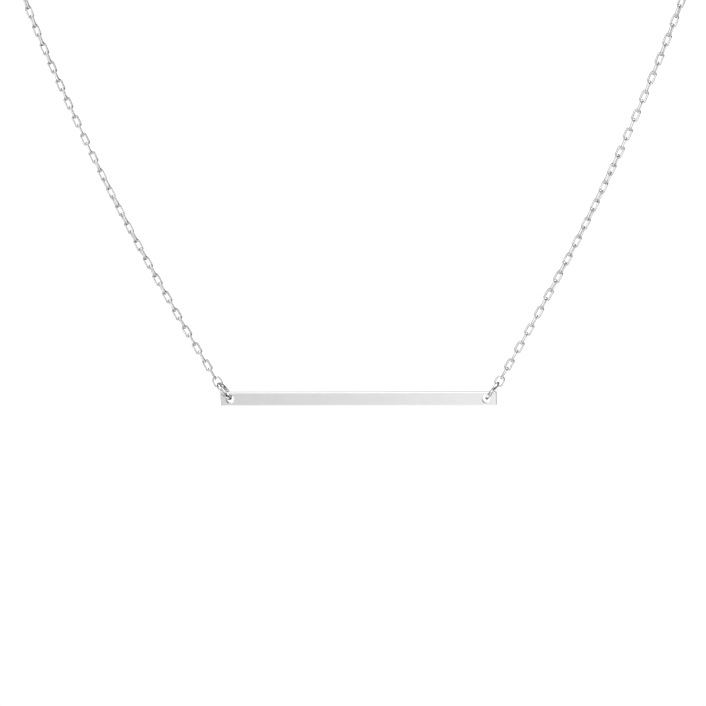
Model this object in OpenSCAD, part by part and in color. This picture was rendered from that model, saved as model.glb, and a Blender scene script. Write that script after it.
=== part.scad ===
// Bar necklace: a flat bar with a hole at each end, hung on two jump rings from a fine cable chain
// that goes round the neck and closes in a clasp at the nape.
// Millimetres. +X is the viewer's right, +Y is away from the viewer and +Z is up. The origin is the
// place on the nape where the clasp lies, so the bar hangs in front of it (-Y) and below it (-Z).

/* [Bar] */
// Length of the bar
bar_length = 40; // [32:0.5:48]
// Height of the bar's face
bar_height = 2; // [1.8:0.1:2.6]
// Thickness of the bar from front to back
bar_thickness = 1; // [0.8:0.05:1.2]
// Chamfer along the bar's edges
bar_chamfer = 0.1; // [0.04:0.02:0.16]
// Radius of the four corners of the bar's face
bar_corner = 0.2; // [0.1:0.05:0.4]
// Diameter of the hole at each end
hole_diameter = 1.26; // [1.16:0.02:1.36]
// Metal between a hole and the end of the bar
hole_margin = 0.81; // [0.7:0.01:1.2]

/* [Jump rings] */
// Inside diameter of the two jump rings
ring_inner = 2.1; // [1.9:0.02:2.4]
// Thickness of the rings' wire
ring_wire = 0.5; // [0.44:0.02:0.54]
// Lean of the rings outwards from the vertical, in degrees
ring_lean = 37.5; // [30:0.5:42]
// Play between a ring and the hole's edges
ring_play = 0.15; // [0.08:0.01:0.18]

/* [End links] */
// Inside length of the oval link that joins the chain to a jump ring
end_inner = 1.48; // [1.3:0.02:1.8]
// Outside width of the oval link
end_width = 1.34; // [1.24:0.02:1.6]
// Thickness of the oval link's wire
end_wire = 0.22; // [0.18:0.01:0.24]

/* [Chain] */
// Inside length of a chain link
link_inner = 1.56; // [1.4:0.005:1.8]
// Outside width of a chain link
link_width = 1.04; // [1.04:0.02:1.2]
// Thickness of a chain link's wire
link_wire = 0.26; // [0.18:0.01:0.26]
// Play between one link and the next
link_play = 0.115; // [0.1:0.005:0.14]
// Turn to the right of the front links' faces, in degrees
facing_turn = 10; // [0:1:20]
// Tilt upwards of the front links' faces, in degrees
facing_rise = 9; // [0:1:20]
// Twist that each link adds, in degrees
link_twist = 1.65; // [0:0.05:1.8]
// Links from the bar to the place where the twist slips back
slip_link = 23; // [12:1:24]
// Links over which it slips back
slip_links = 2; // [2:1:4]
// Slack that gathers there in the right chain
slip_slack = 0.36; // [0:0.02:0.4]
// Links from the bar to the place where the chain leaves the chest and turns round the neck
neck_link = 43; // [40:1:48]

/* [Necklace] */
// How far the bar hangs below the nape
front_drop = 91.5; // [88:0.5:98]
// How far the bar lies in front of the nape
front_reach = 72.4; // [70:0.2:80]
// Lean outwards of the chain just above the bar, in degrees
chain_spread = 31; // [26:0.5:36]
// Lean backwards of the chain above the bar, in degrees
chain_lean = 4.5; // [0:0.5:8]

/* [Clasp] */
// Inside diameter of the ring clasp
clasp_inner = 4; // [3.4:0.1:4.8]
// Thickness of the clasp's tube
clasp_wire = 1; // [0.8:0.05:1.1]
// Inside diameter of the clasp's eye
eye_inner = 0.9; // [0.8:0.05:1.2]
// Thickness of the eye's wire
eye_wire = 0.5; // [0.4:0.05:0.6]
// Inside diameter of the small rings at both sides of the clasp
tail_inner = 2.2; // [2:0.05:2.6]
// Thickness of the small rings' wire
tail_wire = 0.32; // [0.3:0.02:0.38]
// Play between the clasp and the small rings
clasp_play = 0.12; // [0.1:0.01:0.15]

/* [Hidden] */
$fn = 48;

// The right half of the chain's route, from the bar's centre: across, back and up. The left half
// is its mirror image. Its first and last points follow from the rings that hold the chain.
ROUTE = [
    [27.2, 1.1, 14], [34.7, 2.2, 28], [41.7, 3.4, 43], [47.4, 4.5, 57],
    [51.6, 7.8, 70], [53.5, 19, 80], [50.8, 36, 86.8], [41, 53.2, 90], [24, 67.2, 91.3],
];
// Steps in which each stretch between two points of the route is measured
ROUTE_STEPS = 24;

function unit(v) = v / norm(v);
// The part of v that is square to the unit vector t
function square_to(v, t) = unit(v - (v * t) * t);

clasp_mid = [0, clasp_wire / 2, 0];
bar_mid = [0, clasp_mid.y - front_reach, -front_drop];
hole_x = bar_length / 2 - hole_margin - hole_diameter / 2;
hole_at = bar_mid + [hole_x, 0, 0];

// From the hole up through the jump ring and the end link to the chain. The ring's inside stands a
// little play off the two edges of the hole, half the bar's thickness from the ring's middle. The
// end link hangs in the ring's top and lies along the chain, which spreads less than the ring leans.
function pull(lean) = unit([sin(lean), cos(lean) * tan(chain_lean), cos(lean)]);
ring_rise = hole_diameter / 2 + sqrt(pow(ring_inner, 2) - pow(bar_thickness, 2)) / 2 - ring_play;
ring_at = hole_at + [sin(ring_lean), 0, cos(ring_lean)] * ring_rise;
end_rise = ring_inner / 2 - link_play + end_inner / 2;
end_at = ring_at + pull(ring_lean) * end_rise;
lift = pull(chain_spread);
chain_from = end_at + lift * (end_inner / 2 - link_play);

// Across the nape. Both small rings lie as far from the middle, and the clasp fills what is between.
clasp_mid_d = clasp_inner + clasp_wire;
eye_mid_d = eye_inner + eye_wire;
eye_reach = (clasp_mid_d + clasp_wire + eye_mid_d) / 2;
left_grip = clasp_mid_d / 2 + tail_inner / 2 - clasp_wire / 2 - clasp_play;
right_grip = eye_reach + eye_mid_d / 2 + tail_inner / 2 - eye_wire / 2 - clasp_play;
tail_x = (left_grip + right_grip) / 2;
clasp_x = tail_x - right_grip;
tail_at = clasp_mid + [tail_x, 0, 0];
chain_to = tail_at + [tail_inner / 2, 0, 0];

// The route as one smooth curve through its points
stops = concat([chain_from], [for (p = ROUTE) bar_mid + p], [chain_to]);
last_stop = len(stops) - 1;
gaps = [for (i = [1:last_stop]) norm(stops[i] - stops[i - 1])];
function slope(i) =
    i == 0 ? lift :
    i == last_stop ? [-1, 0, 0] :
    let (before = (stops[i] - stops[i - 1]) / gaps[i - 1], after = (stops[i + 1] - stops[i]) / gaps[i])
    (before * gaps[i] + after * gaps[i - 1]) / (gaps[i - 1] + gaps[i]);
function blend(a, b, sa, sb, t) =
    a * (1 + 2 * t) * pow(1 - t, 2) + b * (3 - 2 * t) * pow(t, 2)
    + sa * t * pow(1 - t, 2) - sb * (1 - t) * pow(t, 2);
track = concat(
    [for (i = [0:last_stop - 1], k = [0:ROUTE_STEPS - 1])
        blend(stops[i], stops[i + 1], slope(i) * gaps[i], slope(i + 1) * gaps[i], k / ROUTE_STEPS)],
    [stops[last_stop]]
);
reach = [
    for (i = 0, s = 0; i < len(track); i = i + 1, s = i < len(track) ? s + norm(track[i] - track[i - 1]) : s) s
];
route_length = reach[len(reach) - 1];
table_x = [for (i = [0:len(track) - 1]) [reach[i], track[i].x]];
table_y = [for (i = [0:len(track) - 1]) [reach[i], track[i].y]];
table_z = [for (i = [0:len(track) - 1]) [reach[i], track[i].z]];
function route_point(s) = [lookup(s, table_x), lookup(s, table_y), lookup(s, table_z)];

// An even number of links, because the first is edge-on and the last lies flat on the nape
link_count = 2 * ceil((route_length + slip_slack) / (link_inner - link_play) / 2);
again_link = slip_link + slip_links;
function slack(side) = side > 0 ? slip_slack : 0;
function link_step(side) = (route_length + slack(side)) / link_count;
function link_place(i, side) =
    link_step(side) * i + link_inner / 2
    - slack(side) * max(0, min(i - slip_link + 1, slip_links + 2)) / (slip_links + 2);
function link_point(i, side) = route_point(min(link_place(i, side), route_length));
function link_run(i, side) = unit(
    route_point(min(link_place(i, side) + link_inner / 2, route_length))
    - route_point(link_place(i, side) - link_inner / 2)
);

// The way that a flat link faces: forwards on the chest, then round the neck to the back at the nape
function facing(turn, rise) = [sin(turn) * cos(rise), -cos(turn) * cos(rise), sin(rise)];
function round_share(i) = max(0, (i - neck_link) / (link_count - 1 - neck_link));
function outward(i, side) =
    facing(facing_turn + (side * 180 - facing_turn) * round_share(i), facing_rise * (1 - round_share(i)));
// The twist grows from link to link, slips back once, and eases off round the neck
function twist(i) =
    i <= slip_link ? link_twist * i :
    i <= again_link ? link_twist * slip_link * (again_link - i) / slip_links :
    link_twist * (min(i, neck_link) - again_link) * (1 - round_share(i));

// A place or direction of the right half, taken to the given side
function on_side(v, side) = [side * v.x, v.y, v.z];

// Puts a piece at a point, with its length along run and its flat side facing as nearly as it can
module placed(at, run, towards) {
    face = square_to(towards, run);
    across = cross(face, run);
    multmatrix([
        [across.x, face.x, run.x, at.x],
        [across.y, face.y, run.y, at.y],
        [across.z, face.z, run.z, at.z],
    ]) children();
}

// A round ring in the plane of its length and width, square to Y
module round_ring(inner, wire) {
    rotate([90, 0, 0])
        rotate_extrude()
            translate([(inner + wire) / 2, 0]) circle(d = wire);
}

// A long link with round ends, its length along Z and its width along X
module long_link(inner, width, wire) {
    radius = (width - wire) / 2;
    side = (inner + wire) / 2 - radius;
    for (turn = [0, 180])
        rotate([0, turn, 0])
            translate([0, 0, side])
                rotate([90, 0, 0])
                    rotate_extrude(angle = 180)
                        translate([radius, 0]) circle(d = wire);
    for (x = [-radius, radius])
        translate([x, 0, -side]) cylinder(h = 2 * side, d = wire);
}

// The outline of a slab with its four edges cut off
module cut_outline(width, height, cut) {
    x = width / 2;
    y = height / 2;
    polygon([
        [-x, -y + cut], [-x + cut, -y], [x - cut, -y], [x, -y + cut],
        [x, y - cut], [x - cut, y], [-x + cut, y], [-x, y - cut],
    ]);
}

// The outline of the bar's face, with round corners
module face_outline() {
    x = bar_length / 2 - bar_corner;
    y = bar_height / 2 - bar_corner;
    square([bar_length, 2 * y], center = true);
    square([2 * x, bar_height], center = true);
    for (sx = [-1, 1], sy = [-1, 1])
        translate([sx * x, sy * y]) circle(r = bar_corner);
}

module bar() {
    color("silver")
        translate(bar_mid)
            difference() {
                intersection() {
                    rotate([90, 0, 0])
                        linear_extrude(bar_thickness, center = true) face_outline();
                    rotate([90, 0, 90])
                        linear_extrude(bar_length, center = true)
                            cut_outline(bar_thickness, bar_height, bar_chamfer);
                    linear_extrude(bar_height, center = true)
                        cut_outline(bar_length, bar_thickness, bar_chamfer);
                }
                for (side = [-1, 1])
                    translate([side * hole_x, 0, 0])
                        rotate([90, 0, 0])
                            cylinder(h = 2 * bar_thickness, d = hole_diameter, center = true);
            }
}

module jump_ring(side) {
    color("silver")
        translate(on_side(ring_at, side))
            rotate([0, side * ring_lean, 0])
                rotate([0, 0, 90])
                    round_ring(ring_inner, ring_wire);
}

module end_link(side) {
    color("silver")
        placed(on_side(end_at, side), on_side(lift, side), outward(0, side))
            long_link(end_inner, end_width, end_wire);
}

module chain(side) {
    color("silver")
        for (i = [0:link_count - 1])
            placed(on_side(link_point(i, side), side), on_side(link_run(i, side), side), outward(i, side))
                rotate([0, 0, side * (90 * ((i + 1) % 2) - twist(i))])
                    long_link(link_inner, link_width, link_wire);
}

module clasp_ring(side) {
    color("silver")
        translate(on_side(tail_at, side))
            rotate([90, 0, 0])
                round_ring(tail_inner, tail_wire);
}

module clasp() {
    color("silver")
        translate(clasp_mid + [clasp_x, 0, 0]) {
            round_ring(clasp_inner, clasp_wire);
            translate([eye_reach, 0, 0]) round_ring(eye_inner, eye_wire);
        }
}

bar();
jump_ring(-1);  // jump_ring_left
jump_ring(1);  // jump_ring_right
end_link(-1);  // end_link_left
end_link(1);  // end_link_right
chain(-1);  // chain_left
chain(1);  // chain_right
clasp_ring(-1);  // clasp_ring_left
clasp_ring(1);  // clasp_ring_right
clasp();
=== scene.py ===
"""Bar necklace in polished silver, hanging as it is worn: the looks of every piece, the studio, the camera.
Metres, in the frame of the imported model: +X is the viewer's right, +Y is away from the viewer, +Z is up."""
import math

import bmesh
import bpy
import numpy as np
from mathutils import Matrix, Vector


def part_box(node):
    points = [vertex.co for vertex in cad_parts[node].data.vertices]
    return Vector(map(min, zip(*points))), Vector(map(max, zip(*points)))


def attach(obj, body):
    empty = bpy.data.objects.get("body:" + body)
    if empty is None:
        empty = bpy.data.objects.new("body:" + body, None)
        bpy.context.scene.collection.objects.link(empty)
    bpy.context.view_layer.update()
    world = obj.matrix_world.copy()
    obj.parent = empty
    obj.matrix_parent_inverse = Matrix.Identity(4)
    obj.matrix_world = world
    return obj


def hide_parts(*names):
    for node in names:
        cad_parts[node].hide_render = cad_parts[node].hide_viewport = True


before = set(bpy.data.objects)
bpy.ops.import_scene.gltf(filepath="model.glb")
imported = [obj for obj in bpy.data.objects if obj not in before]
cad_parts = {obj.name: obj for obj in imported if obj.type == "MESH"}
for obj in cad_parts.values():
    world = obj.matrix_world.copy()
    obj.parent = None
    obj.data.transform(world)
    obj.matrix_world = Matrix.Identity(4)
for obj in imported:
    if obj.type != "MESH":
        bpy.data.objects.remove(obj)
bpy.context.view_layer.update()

MM = 0.001
SIDES = {"left": -1, "right": 1}

# The bar's holes and edges. Its edges are rounded by BAR_EDGE, at its two ends by a share of that, and
# next to each rounding the face has one more loop. The left end slants a little.
HOLE_DIAMETER = 1.26 * MM
HOLE_INSET = 1.44 * MM
BAR_CORNER = 0.2 * MM
LEAST_CORNER = 0.01 * MM
BAR_EDGE = 0.1 * MM
BAR_LOOP = 0.03 * MM
END_EDGE_SHARE = 0.4
HOLE_EDGE = 0.04 * MM
HOLE_LOOP = 0.02 * MM
END_SLANT = 0.09 * MM
SLANT_LENGTH = 1.0 * MM

# The wires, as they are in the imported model
RING_WIRE = 0.5 * MM
END_WIRE = 0.22 * MM
LINK_WIDTH = 1.04 * MM
TAIL_WIRE = 0.32 * MM
CLASP_OUTER = 6.0 * MM
CLASP_WIRE = 1.0 * MM
EYE_OUTER = 1.9 * MM
EYE_WIRE = 0.5 * MM

# A chain link's wire is a little thicker across the link's face than in it
LINK_WIRE = 0.28 * MM
LINK_HEIGHT = 0.34 * MM

# How far an end link is drawn in towards the jump ring under it and the link over it, and a clasp ring
# towards the clasp and the chain's last link. A drawn link's inside is a little longer than the pitch.
RING_GAP = 0.1 * MM
LINK_GAP = 0.05 * MM
CLASP_GAP = 0.12 * MM
LAST_GAP = 0.16 * MM
LINK_SLACK = 0.004 * MM

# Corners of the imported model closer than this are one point
SAME_POINT = 1e-4 * MM

# Points of the meshes: along and round a ring's wire; round an end, along a side and round the wire of
# an end link and of a chain link; and over an edge, round a corner, along a side and up an end of the bar
RING_POINTS = (96, 32)
END_LINK_POINTS = (32, 6, 20)
LINK_POINTS = (14, 4, 22)
EDGE_POINTS = 6
CORNER_POINTS = 7
SIDE_STEPS = 81
END_STEPS = 5
HOLE_POINTS = 56
FLOOR_POINTS = 96

# The camera stands a little to the right of the bar and above it, with a long lens
CAMERA_TURN = 10.0
CAMERA_RISE = 9.0
CAMERA_ROLL = -1.77
CAMERA_DISTANCE = 559.4 * MM
CAMERA_TARGET = Vector((-0.52, 0.0, 6.6)) * MM
LENS = 200.0
CLIP_START, CLIP_END = 0.01, 20
FLOOR_DROP = 0.6
FLOOR_RADIUS = 2.4
FLOOR_GREY = 0.95
FLOOR_ROUGHNESS = 0.9

# The studio: a white background, and the grey room with soft lights that the metal mirrors. Each light
# has the azimuth and elevation it comes from in degrees (azimuth 0 is the viewer's side and positive to
# the right), its sharpness and its strength, which makes a darker place where it is negative. Their sum
# starts at the shade and is never under the darkest.
WHITE = 1.1
SHADE = -0.9
DARKEST = 0.02
SOFT_LIGHTS = [
    (-14, 33, 1, 1.26),
    (30, -69, 6, 1.28),
    (-167, 9, 14, 1.66),
    (97, -32, 14, 2.31),
    (-169, 74, 14, 1.88),
    (-10, -25, 40, 2.39),
    (-85, -22, 14, 2.96),
    (91, 37, 14, 2.00),
    (35, -15, 40, 1.42),
    (178, -13, 14, 1.25),
    (-10, 10, 40, 2.08),
    (21, 85, 14, 2.20),
    (-67, 31, 14, 1.26),
    (5, -5, 40, 0.92),
    (-75, -81, 14, 1.38),
    (141, 7, 14, 0.90),
    (-12, -10, 100, -0.36),
    (-170, 9, 100, -0.65),
]

# The silver's finish: how fine its clouds and its scratches are, how deep the scratches are cut, and
# by what share the clouds change the gloss and the tone
CLOUDS = {"Scale": 900.0, "Detail": 3.0, "Roughness": 0.6}
SCRATCHES = {"Scale": 1.0, "Detail": 2.0}
SCRATCH_SCALE = (400.0, 9000.0, 9000.0)
SCRATCH_DEPTH = 0.002 * MM
GLOSS_SPAN = (0.8, 1.25)
TONE_SPAN = (0.985, 1.015)


def mesh_piece(name, points, faces, material, body, nodes):
    """A smooth piece that rides on a body and stands for CAD nodes."""
    mesh = bpy.data.meshes.new(name)
    mesh.from_pydata(points.tolist(), [], faces.tolist())
    mesh.validate()
    mesh.shade_smooth()
    piece = bpy.data.objects.new(name, mesh)
    bpy.context.scene.collection.objects.link(piece)
    mesh.materials.append(material)
    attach(piece, body)
    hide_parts(*nodes)


def ring_faces(rows, columns):
    """Quads of a surface closed both ways, whose points are rows times columns."""
    r, c = np.meshgrid(np.arange(rows), np.arange(columns), indexing="ij")
    after, beside = (r + 1) % rows, (c + 1) % columns
    quads = [r * columns + c, r * columns + beside, after * columns + beside, after * columns + c]
    return np.stack([q.ravel() for q in quads], 1)


def wire_section(wire, height, count):
    """Points round a wire, as (out, up) pairs."""
    turn = np.arange(count) / count * 2 * math.pi
    return np.stack([np.cos(turn) * wire, np.sin(turn) * height], 1) / 2


def oval(inner, width, wire, ends, sides):
    """The middle line of an oval link, as (across, along) pairs, and the direction outwards at each point."""
    radius = (width - wire) / 2
    straight = max(0.0, (inner + wire) / 2 - radius)
    half = np.linspace(0, math.pi, ends + 1)
    top = np.stack([np.cos(half), np.sin(half)], 1)
    run = np.linspace(1, -1, sides + 1)[1:-1]
    left = np.stack([np.full(len(run), -radius), run * straight], 1)
    right = np.stack([np.full(len(run), radius), -run * straight], 1)
    line = np.concatenate([top * radius + [0, straight], left, -top * radius - [0, straight], right])
    out = np.concatenate([top, np.tile([-1.0, 0.0], (len(run), 1)), -top, np.tile([1.0, 0.0], (len(run), 1))])
    return line, out


def loop_mesh(line, out, section):
    """A wire bent along a flat closed line. Its width is along X, its length along Z and its face along Y."""
    flat = line[:, None, :] + out[:, None, :] * section[None, :, :1]
    up = np.broadcast_to(section[None, :, 1], flat.shape[:2])
    points = np.stack([flat[..., 0], up, flat[..., 1]], 2).reshape(-1, 3)
    return points, ring_faces(len(line), len(section))


def circle_line(diameter, count):
    """A round middle line, and the direction outwards at each point."""
    turn = np.arange(count) / count * 2 * math.pi
    out = np.stack([np.cos(turn), np.sin(turn)], 1)
    return out * diameter / 2, out


def solids_of(node):
    """The corners of each loose solid of a CAD node, one array for each."""
    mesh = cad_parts[node].data
    points = np.empty(len(mesh.vertices) * 3)
    mesh.vertices.foreach_get("co", points)
    points = points.reshape(-1, 3)
    places, same = np.unique(np.round(points / SAME_POINT), axis=0, return_inverse=True)
    edges = np.empty(len(mesh.edges) * 2, int)
    mesh.edges.foreach_get("vertices", edges)
    a, b = same.ravel()[edges.reshape(-1, 2)].T
    label = np.arange(len(places))
    while True:
        low = np.minimum(label[a], label[b])
        new = label.copy()
        np.minimum.at(new, a, low)
        np.minimum.at(new, b, low)
        new = new[new]
        if (new == label).all():
            break
        label = new
    label = label[same.ravel()]
    return [points[label == k] for k in np.unique(label)]


def placement(points):
    """Where a flat solid lies: its middle, and its width, face and length directions as columns."""
    mean = points.mean(0)
    axes = np.linalg.svd(points - mean, full_matrices=False)[2]
    along = (points - mean) @ axes.T
    middle = mean + axes.T @ ((along.max(0) + along.min(0)) / 2)
    length, width = axes[0], axes[1]
    return middle, np.stack([width, np.cross(length, width), length], 1)


def in_order(solids, start):
    """Solids sorted from start, each next to the one before it."""
    middles = np.array([s.mean(0) for s in solids])
    left, order, at = list(range(len(solids))), [], start
    while left:
        nearest = left[int(np.linalg.norm(middles[left] - at, axis=1).argmin())]
        left.remove(nearest)
        order.append(solids[nearest])
        at = middles[nearest]
    return order


def joined(parts):
    """Several (points, faces) pairs as one."""
    starts = np.cumsum([0] + [len(points) for points, _ in parts[:-1]])
    faces = np.concatenate([faces + start for (_, faces), start in zip(parts, starts)])
    return np.concatenate([points for points, _ in parts]), faces


def value(nodes, kind, **settings):
    """A shader node with its settings; sockets are given by name or number in a dict called inputs."""
    node = nodes.new(kind)
    for name, what in settings.items():
        if name == "inputs":
            for socket, number in what.items():
                node.inputs[socket].default_value = number
        else:
            setattr(node, name, what)
    return node


def silver(name, tone, roughness, scratches):
    """Polished silver: soft clouds of handling in the gloss, and fine scratches in the surface."""
    material = bpy.data.materials.new(name)
    material.use_nodes = True
    nodes, links = material.node_tree.nodes, material.node_tree.links
    shader = nodes["Principled BSDF"]
    shader.inputs["Metallic"].default_value = 1.0
    place = nodes.new("ShaderNodeTexCoord").outputs["Object"]

    clouds = value(nodes, "ShaderNodeTexNoise", inputs=CLOUDS)
    links.new(place, clouds.inputs["Vector"])
    least, most = (roughness * share for share in GLOSS_SPAN)
    gloss = value(nodes, "ShaderNodeMapRange", inputs={3: least, 4: most})
    links.new(clouds.outputs["Fac"], gloss.inputs["Value"])
    links.new(gloss.outputs["Result"], shader.inputs["Roughness"])

    least, most = (tone * share for share in TONE_SPAN)
    shade = value(nodes, "ShaderNodeMapRange", inputs={3: least, 4: most})
    links.new(clouds.outputs["Fac"], shade.inputs["Value"])
    links.new(shade.outputs["Result"], shader.inputs["Base Color"])

    stretch = value(nodes, "ShaderNodeMapping", inputs={"Scale": SCRATCH_SCALE})
    links.new(place, stretch.inputs["Vector"])
    lines = value(nodes, "ShaderNodeTexNoise", inputs=SCRATCHES)
    links.new(stretch.outputs["Vector"], lines.inputs["Vector"])
    bump = value(nodes, "ShaderNodeBump", inputs={"Strength": scratches, "Distance": SCRATCH_DEPTH})
    links.new(lines.outputs["Fac"], bump.inputs["Height"])
    links.new(bump.outputs["Normal"], shader.inputs["Normal"])
    return material


def bar_outline(length, height, inset):
    """The bar's outline pulled in by inset, as (x, z) pairs round from its lower right corner."""
    radius = max(BAR_CORNER - inset, LEAST_CORNER)
    x, z = length / 2 - inset * END_EDGE_SHARE - radius, height / 2 - inset - radius
    points = []
    for k, (sx, sz) in enumerate([(1, -1), (1, 1), (-1, 1), (-1, -1)]):
        turn = (k - 1) * math.pi / 2 + np.linspace(0, math.pi / 2, CORNER_POINTS)
        arc = np.stack([sx * x + radius * np.cos(turn), sz * z + radius * np.sin(turn)], 1)
        ahead = [(1, 1), (-1, 1), (-1, -1), (1, -1)][k]
        to = np.array(ahead) * [x, z] + radius * np.array([math.cos(turn[-1]), math.sin(turn[-1])])
        steps = np.linspace(0, 1, SIDE_STEPS if k % 2 else END_STEPS)[1:-1, None]
        points += [arc, arc[-1] * (1 - steps) + to * steps]
    points = np.concatenate(points)
    near_end = np.clip((-points[:, 0] - length / 2 + SLANT_LENGTH) / SLANT_LENGTH, 0, 1)
    points[:, 0] += END_SLANT * near_end * (0.5 - points[:, 1] / height)
    return points


def bar_mesh(length, height, thickness):
    """The bar as loops round its outline and its holes, from front to back, with the two faces filled in."""
    mesh = bmesh.new()
    steps = np.linspace(0, math.pi / 2, EDGE_POINTS)

    def levels(edge, more):
        """(inset, depth) pairs over the front edge, the side and the back edge, with a loop on each face."""
        front = [(edge * (1 - math.sin(t)), thickness / 2 - edge * (1 - math.cos(t))) for t in steps]
        front = [(edge + more, thickness / 2)] + front
        return front + [(inset, -depth) for inset, depth in reversed(front)]

    def wall(loops):
        """Faces between loops of points, and the first and last loops' edges."""
        made = [[mesh.verts.new(p) for p in loop] for loop in loops]
        for one, two in zip(made[:-1], made[1:]):
            for i in range(len(one)):
                j = (i + 1) % len(one)
                mesh.faces.new((one[i], one[j], two[j], two[i]))
        return [[mesh.edges.get((loop[i], loop[(i + 1) % len(loop)])) for i in range(len(loop))]
                for loop in (made[0], made[-1])]

    ends = [wall([[(x, -depth, z) for x, z in bar_outline(length, height, inset)]
                  for inset, depth in levels(BAR_EDGE, BAR_LOOP)])]
    round_out = circle_line(HOLE_DIAMETER, HOLE_POINTS)[1][::-1]
    for side in (-1, 1):
        loops = []
        for inset, depth in levels(HOLE_EDGE, HOLE_LOOP):
            ring = round_out * (HOLE_DIAMETER / 2 + inset)
            loops.append([(side * (length / 2 - HOLE_INSET) + x, -depth, z) for x, z in ring])
        ends.append(wall(loops))
    for face in (0, 1):
        edges = [e for end in ends for e in end[face]]
        bmesh.ops.triangle_fill(mesh, edges=edges, use_beauty=True, normal=(0, 2 * face - 1, 0))
    bmesh.ops.recalc_face_normals(mesh, faces=mesh.faces)
    return mesh


def make_bar(material):
    """The bar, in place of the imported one. Gives its middle back."""
    low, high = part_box("bar")
    size = high - low
    made = bar_mesh(size.x, size.z, size.y)
    bmesh.ops.translate(made, verts=made.verts, vec=(low + high) / 2)
    mesh = bpy.data.meshes.new("flat_bar")
    made.to_mesh(mesh)
    made.free()
    mesh.shade_smooth()
    mesh.materials.append(material)
    piece = bpy.data.objects.new("flat_bar", mesh)
    bpy.context.scene.collection.objects.link(piece)
    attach(piece, "pendant")
    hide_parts("bar")
    return (low + high) / 2


def round_wire(outer, wire):
    """A ring of round wire."""
    along, about = RING_POINTS
    return loop_mesh(*circle_line(outer - wire, along), wire_section(wire, wire, about))


def packed_ring(node):
    """Where a packed ring lies and how wide it is outside."""
    solid = solids_of(node)[0]
    middle, axes = placement(solid)
    return middle, axes, 2 * np.linalg.norm(solid - middle, axis=1).max()


def make_jump_ring(side, material):
    node = "jump_ring_" + side
    middle, axes, outer = packed_ring(node)
    shape, faces = round_wire(outer, RING_WIRE)
    mesh_piece(node + "_wire", middle + shape @ axes.T, faces, material, "pendant", [node])


def make_clasp_ring(side, material):
    """A clasp ring, drawn in until it touches the clasp and reaches a little into the last link."""
    node = "clasp_ring_" + side
    middle, axes, outer = packed_ring(node)
    middle = middle - [SIDES[side] * (LAST_GAP - CLASP_GAP) / 2, 0, 0]
    shape, faces = round_wire(outer - CLASP_GAP - LAST_GAP, TAIL_WIRE)
    mesh_piece(node + "_wire", middle + shape @ axes.T, faces, material, "necklace", [node])


def make_clasp(material):
    """The ring clasp with its eye on the right, as one piece."""
    low, high = (np.array(c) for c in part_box("clasp"))
    middle = (low + high) / 2
    ring, faces = round_wire(CLASP_OUTER, CLASP_WIRE)
    eye, eye_faces = round_wire(EYE_OUTER, EYE_WIRE)
    points, faces = joined([
        (ring + [low[0] + CLASP_OUTER / 2, middle[1], middle[2]], faces),
        (eye + [high[0] - EYE_OUTER / 2, middle[1], middle[2]], eye_faces),
    ])
    mesh_piece("ring_clasp", points, faces, material, "necklace", ["clasp"])


def make_end_link(side, material):
    """An end link, drawn in until it all but touches the jump ring and the first link."""
    node = "end_link_" + side
    solid = solids_of(node)[0]
    middle, axes = placement(solid)
    width, _, length = np.ptp((solid - middle) @ axes, axis=0)
    ends, sides, about = END_LINK_POINTS
    line, out = oval(length - 2 * END_WIRE - RING_GAP - LINK_GAP, width, END_WIRE, ends, sides)
    shape, faces = loop_mesh(line, out, wire_section(END_WIRE, END_WIRE, about))
    rise = axes[:, 2] * math.copysign((RING_GAP - LINK_GAP) / 2, axes[2, 2])
    points = middle + rise + shape @ axes.T
    mesh_piece(node + "_wire", points, faces, material, "necklace", [node])


def make_chain(side, material):
    """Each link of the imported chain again, drawn together until it all but touches the next."""
    node = "chain_" + side
    start = sum(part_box("end_link_" + side), Vector()) / 2
    links = [placement(s) for s in in_order(solids_of(node), np.array(start))]
    middles = np.array([m for m, _ in links])
    pitch = np.median(np.linalg.norm(np.diff(middles, axis=0), axis=1))
    ends, sides, about = LINK_POINTS
    line, out = oval(pitch + LINK_SLACK, LINK_WIDTH, LINK_WIRE, ends, sides)
    shape, faces = loop_mesh(line, out, wire_section(LINK_WIRE, LINK_HEIGHT, about))
    points, faces = joined([(middle + shape @ axes.T, faces) for middle, axes in links])
    mesh_piece("cable_chain_" + side, points, faces, material, "necklace", [node])


def heading(azimuth, elevation):
    """The direction that lies at an azimuth and an elevation in degrees."""
    turn, rise = math.radians(azimuth), math.radians(elevation)
    return Vector((math.sin(turn) * math.cos(rise), -math.cos(turn) * math.cos(rise), math.sin(rise)))


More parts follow.
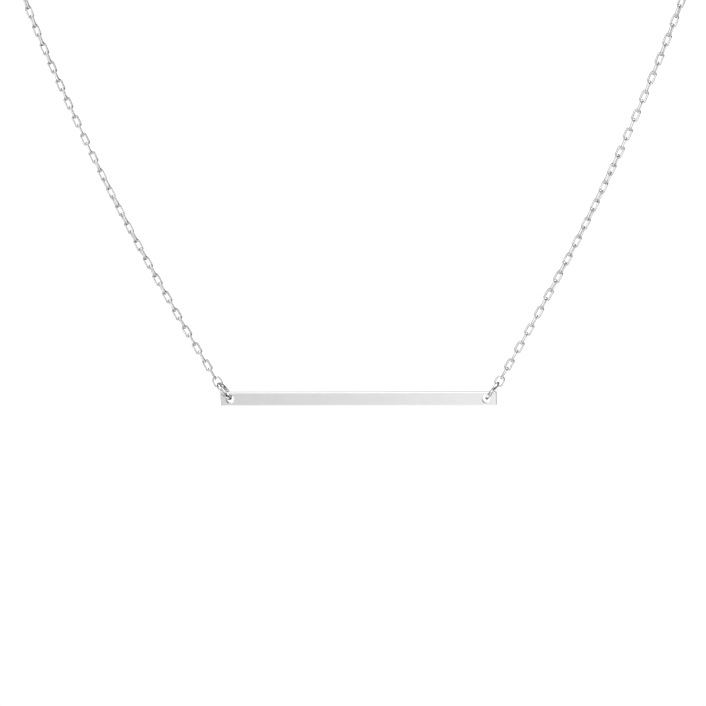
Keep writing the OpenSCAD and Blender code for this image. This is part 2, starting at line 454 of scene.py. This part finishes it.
def soft_room():
    """A white background, and the grey room with its soft lights for what the metal mirrors."""
    world = bpy.data.worlds.new("soft_room")
    world.use_nodes = True
    nodes, links = world.node_tree.nodes, world.node_tree.links
    way = nodes.new("ShaderNodeTexCoord").outputs["Generated"]
    total = value(nodes, "ShaderNodeMath", operation="ADD", inputs={0: SHADE, 1: 0.0}).outputs[0]
    for azimuth, elevation, sharpness, strength in SOFT_LIGHTS:
        centre = heading(azimuth, elevation)
        near = value(nodes, "ShaderNodeVectorMath", operation="DOT_PRODUCT", inputs={1: centre})
        links.new(way, near.inputs[0])
        power = value(nodes, "ShaderNodeMath", operation="MULTIPLY_ADD", inputs={1: sharpness, 2: -sharpness})
        links.new(near.outputs["Value"], power.inputs[0])
        lobe = value(nodes, "ShaderNodeMath", operation="EXPONENT")
        links.new(power.outputs[0], lobe.inputs[0])
        sum_up = value(nodes, "ShaderNodeMath", operation="MULTIPLY_ADD", inputs={1: strength})
        links.new(lobe.outputs[0], sum_up.inputs[0])
        links.new(total, sum_up.inputs[2])
        total = sum_up.outputs[0]
    never_black = value(nodes, "ShaderNodeMath", operation="MAXIMUM", inputs={1: DARKEST})
    links.new(total, never_black.inputs[0])
    mirrored = value(nodes, "ShaderNodeMix", data_type="FLOAT", inputs={"A": WHITE})
    links.new(nodes.new("ShaderNodeLightPath").outputs["Is Glossy Ray"], mirrored.inputs["Factor"])
    links.new(never_black.outputs[0], mirrored.inputs["B"])
    links.new(mirrored.outputs["Result"], nodes["Background"].inputs["Strength"])
    nodes["Background"].inputs["Color"].default_value = (1, 1, 1, 1)
    return world


def make_studio(bar_middle):
    """A pale floor well below the necklace, a white room round it, and the camera."""
    mesh = bmesh.new()
    bmesh.ops.create_circle(mesh, cap_ends=True, segments=FLOOR_POINTS, radius=FLOOR_RADIUS)
    data = bpy.data.meshes.new("floor")
    mesh.to_mesh(data)
    mesh.free()
    floor = bpy.data.objects.new("floor", data)
    floor.location = (0, bar_middle.y, -FLOOR_DROP)
    floor.visible_glossy = False
    bpy.context.scene.collection.objects.link(floor)
    paint = bpy.data.materials.new("pale_floor")
    paint.use_nodes = True
    shader = paint.node_tree.nodes["Principled BSDF"]
    shader.inputs["Base Color"].default_value = (FLOOR_GREY, FLOOR_GREY, FLOOR_GREY, 1)
    shader.inputs["Roughness"].default_value = FLOOR_ROUGHNESS
    data.materials.append(paint)

    bpy.context.scene.world = soft_room()
    bpy.context.scene.view_settings.view_transform = "Standard"
    data = bpy.data.cameras.new("camera")
    data.lens = LENS
    data.clip_start, data.clip_end = CLIP_START, CLIP_END
    camera = bpy.data.objects.new("camera", data)
    back = heading(CAMERA_TURN, CAMERA_RISE)
    level = back.to_track_quat("Z", "Y").to_matrix().to_4x4()
    camera.matrix_world = (
        Matrix.Translation(bar_middle + CAMERA_TARGET + back * CAMERA_DISTANCE)
        @ level @ Matrix.Rotation(math.radians(CAMERA_ROLL), 4, "Z")
    )
    bpy.context.scene.collection.objects.link(camera)
    bpy.context.scene.camera = camera


bar_silver = silver("bar_silver", tone=0.9, roughness=0.12, scratches=0.12)
ring_silver = silver("ring_silver", tone=0.88, roughness=0.05, scratches=0.08)
chain_silver = silver("chain_silver", tone=0.87, roughness=0.1, scratches=0.1)
clasp_silver = silver("clasp_silver", tone=0.88, roughness=0.1, scratches=0.2)

bar_middle = make_bar(bar_silver)
for side in SIDES:
    make_jump_ring(side, ring_silver)
    make_end_link(side, chain_silver)
    make_chain(side, chain_silver)
    make_clasp_ring(side, ring_silver)
make_clasp(clasp_silver)
make_studio(bar_middle)
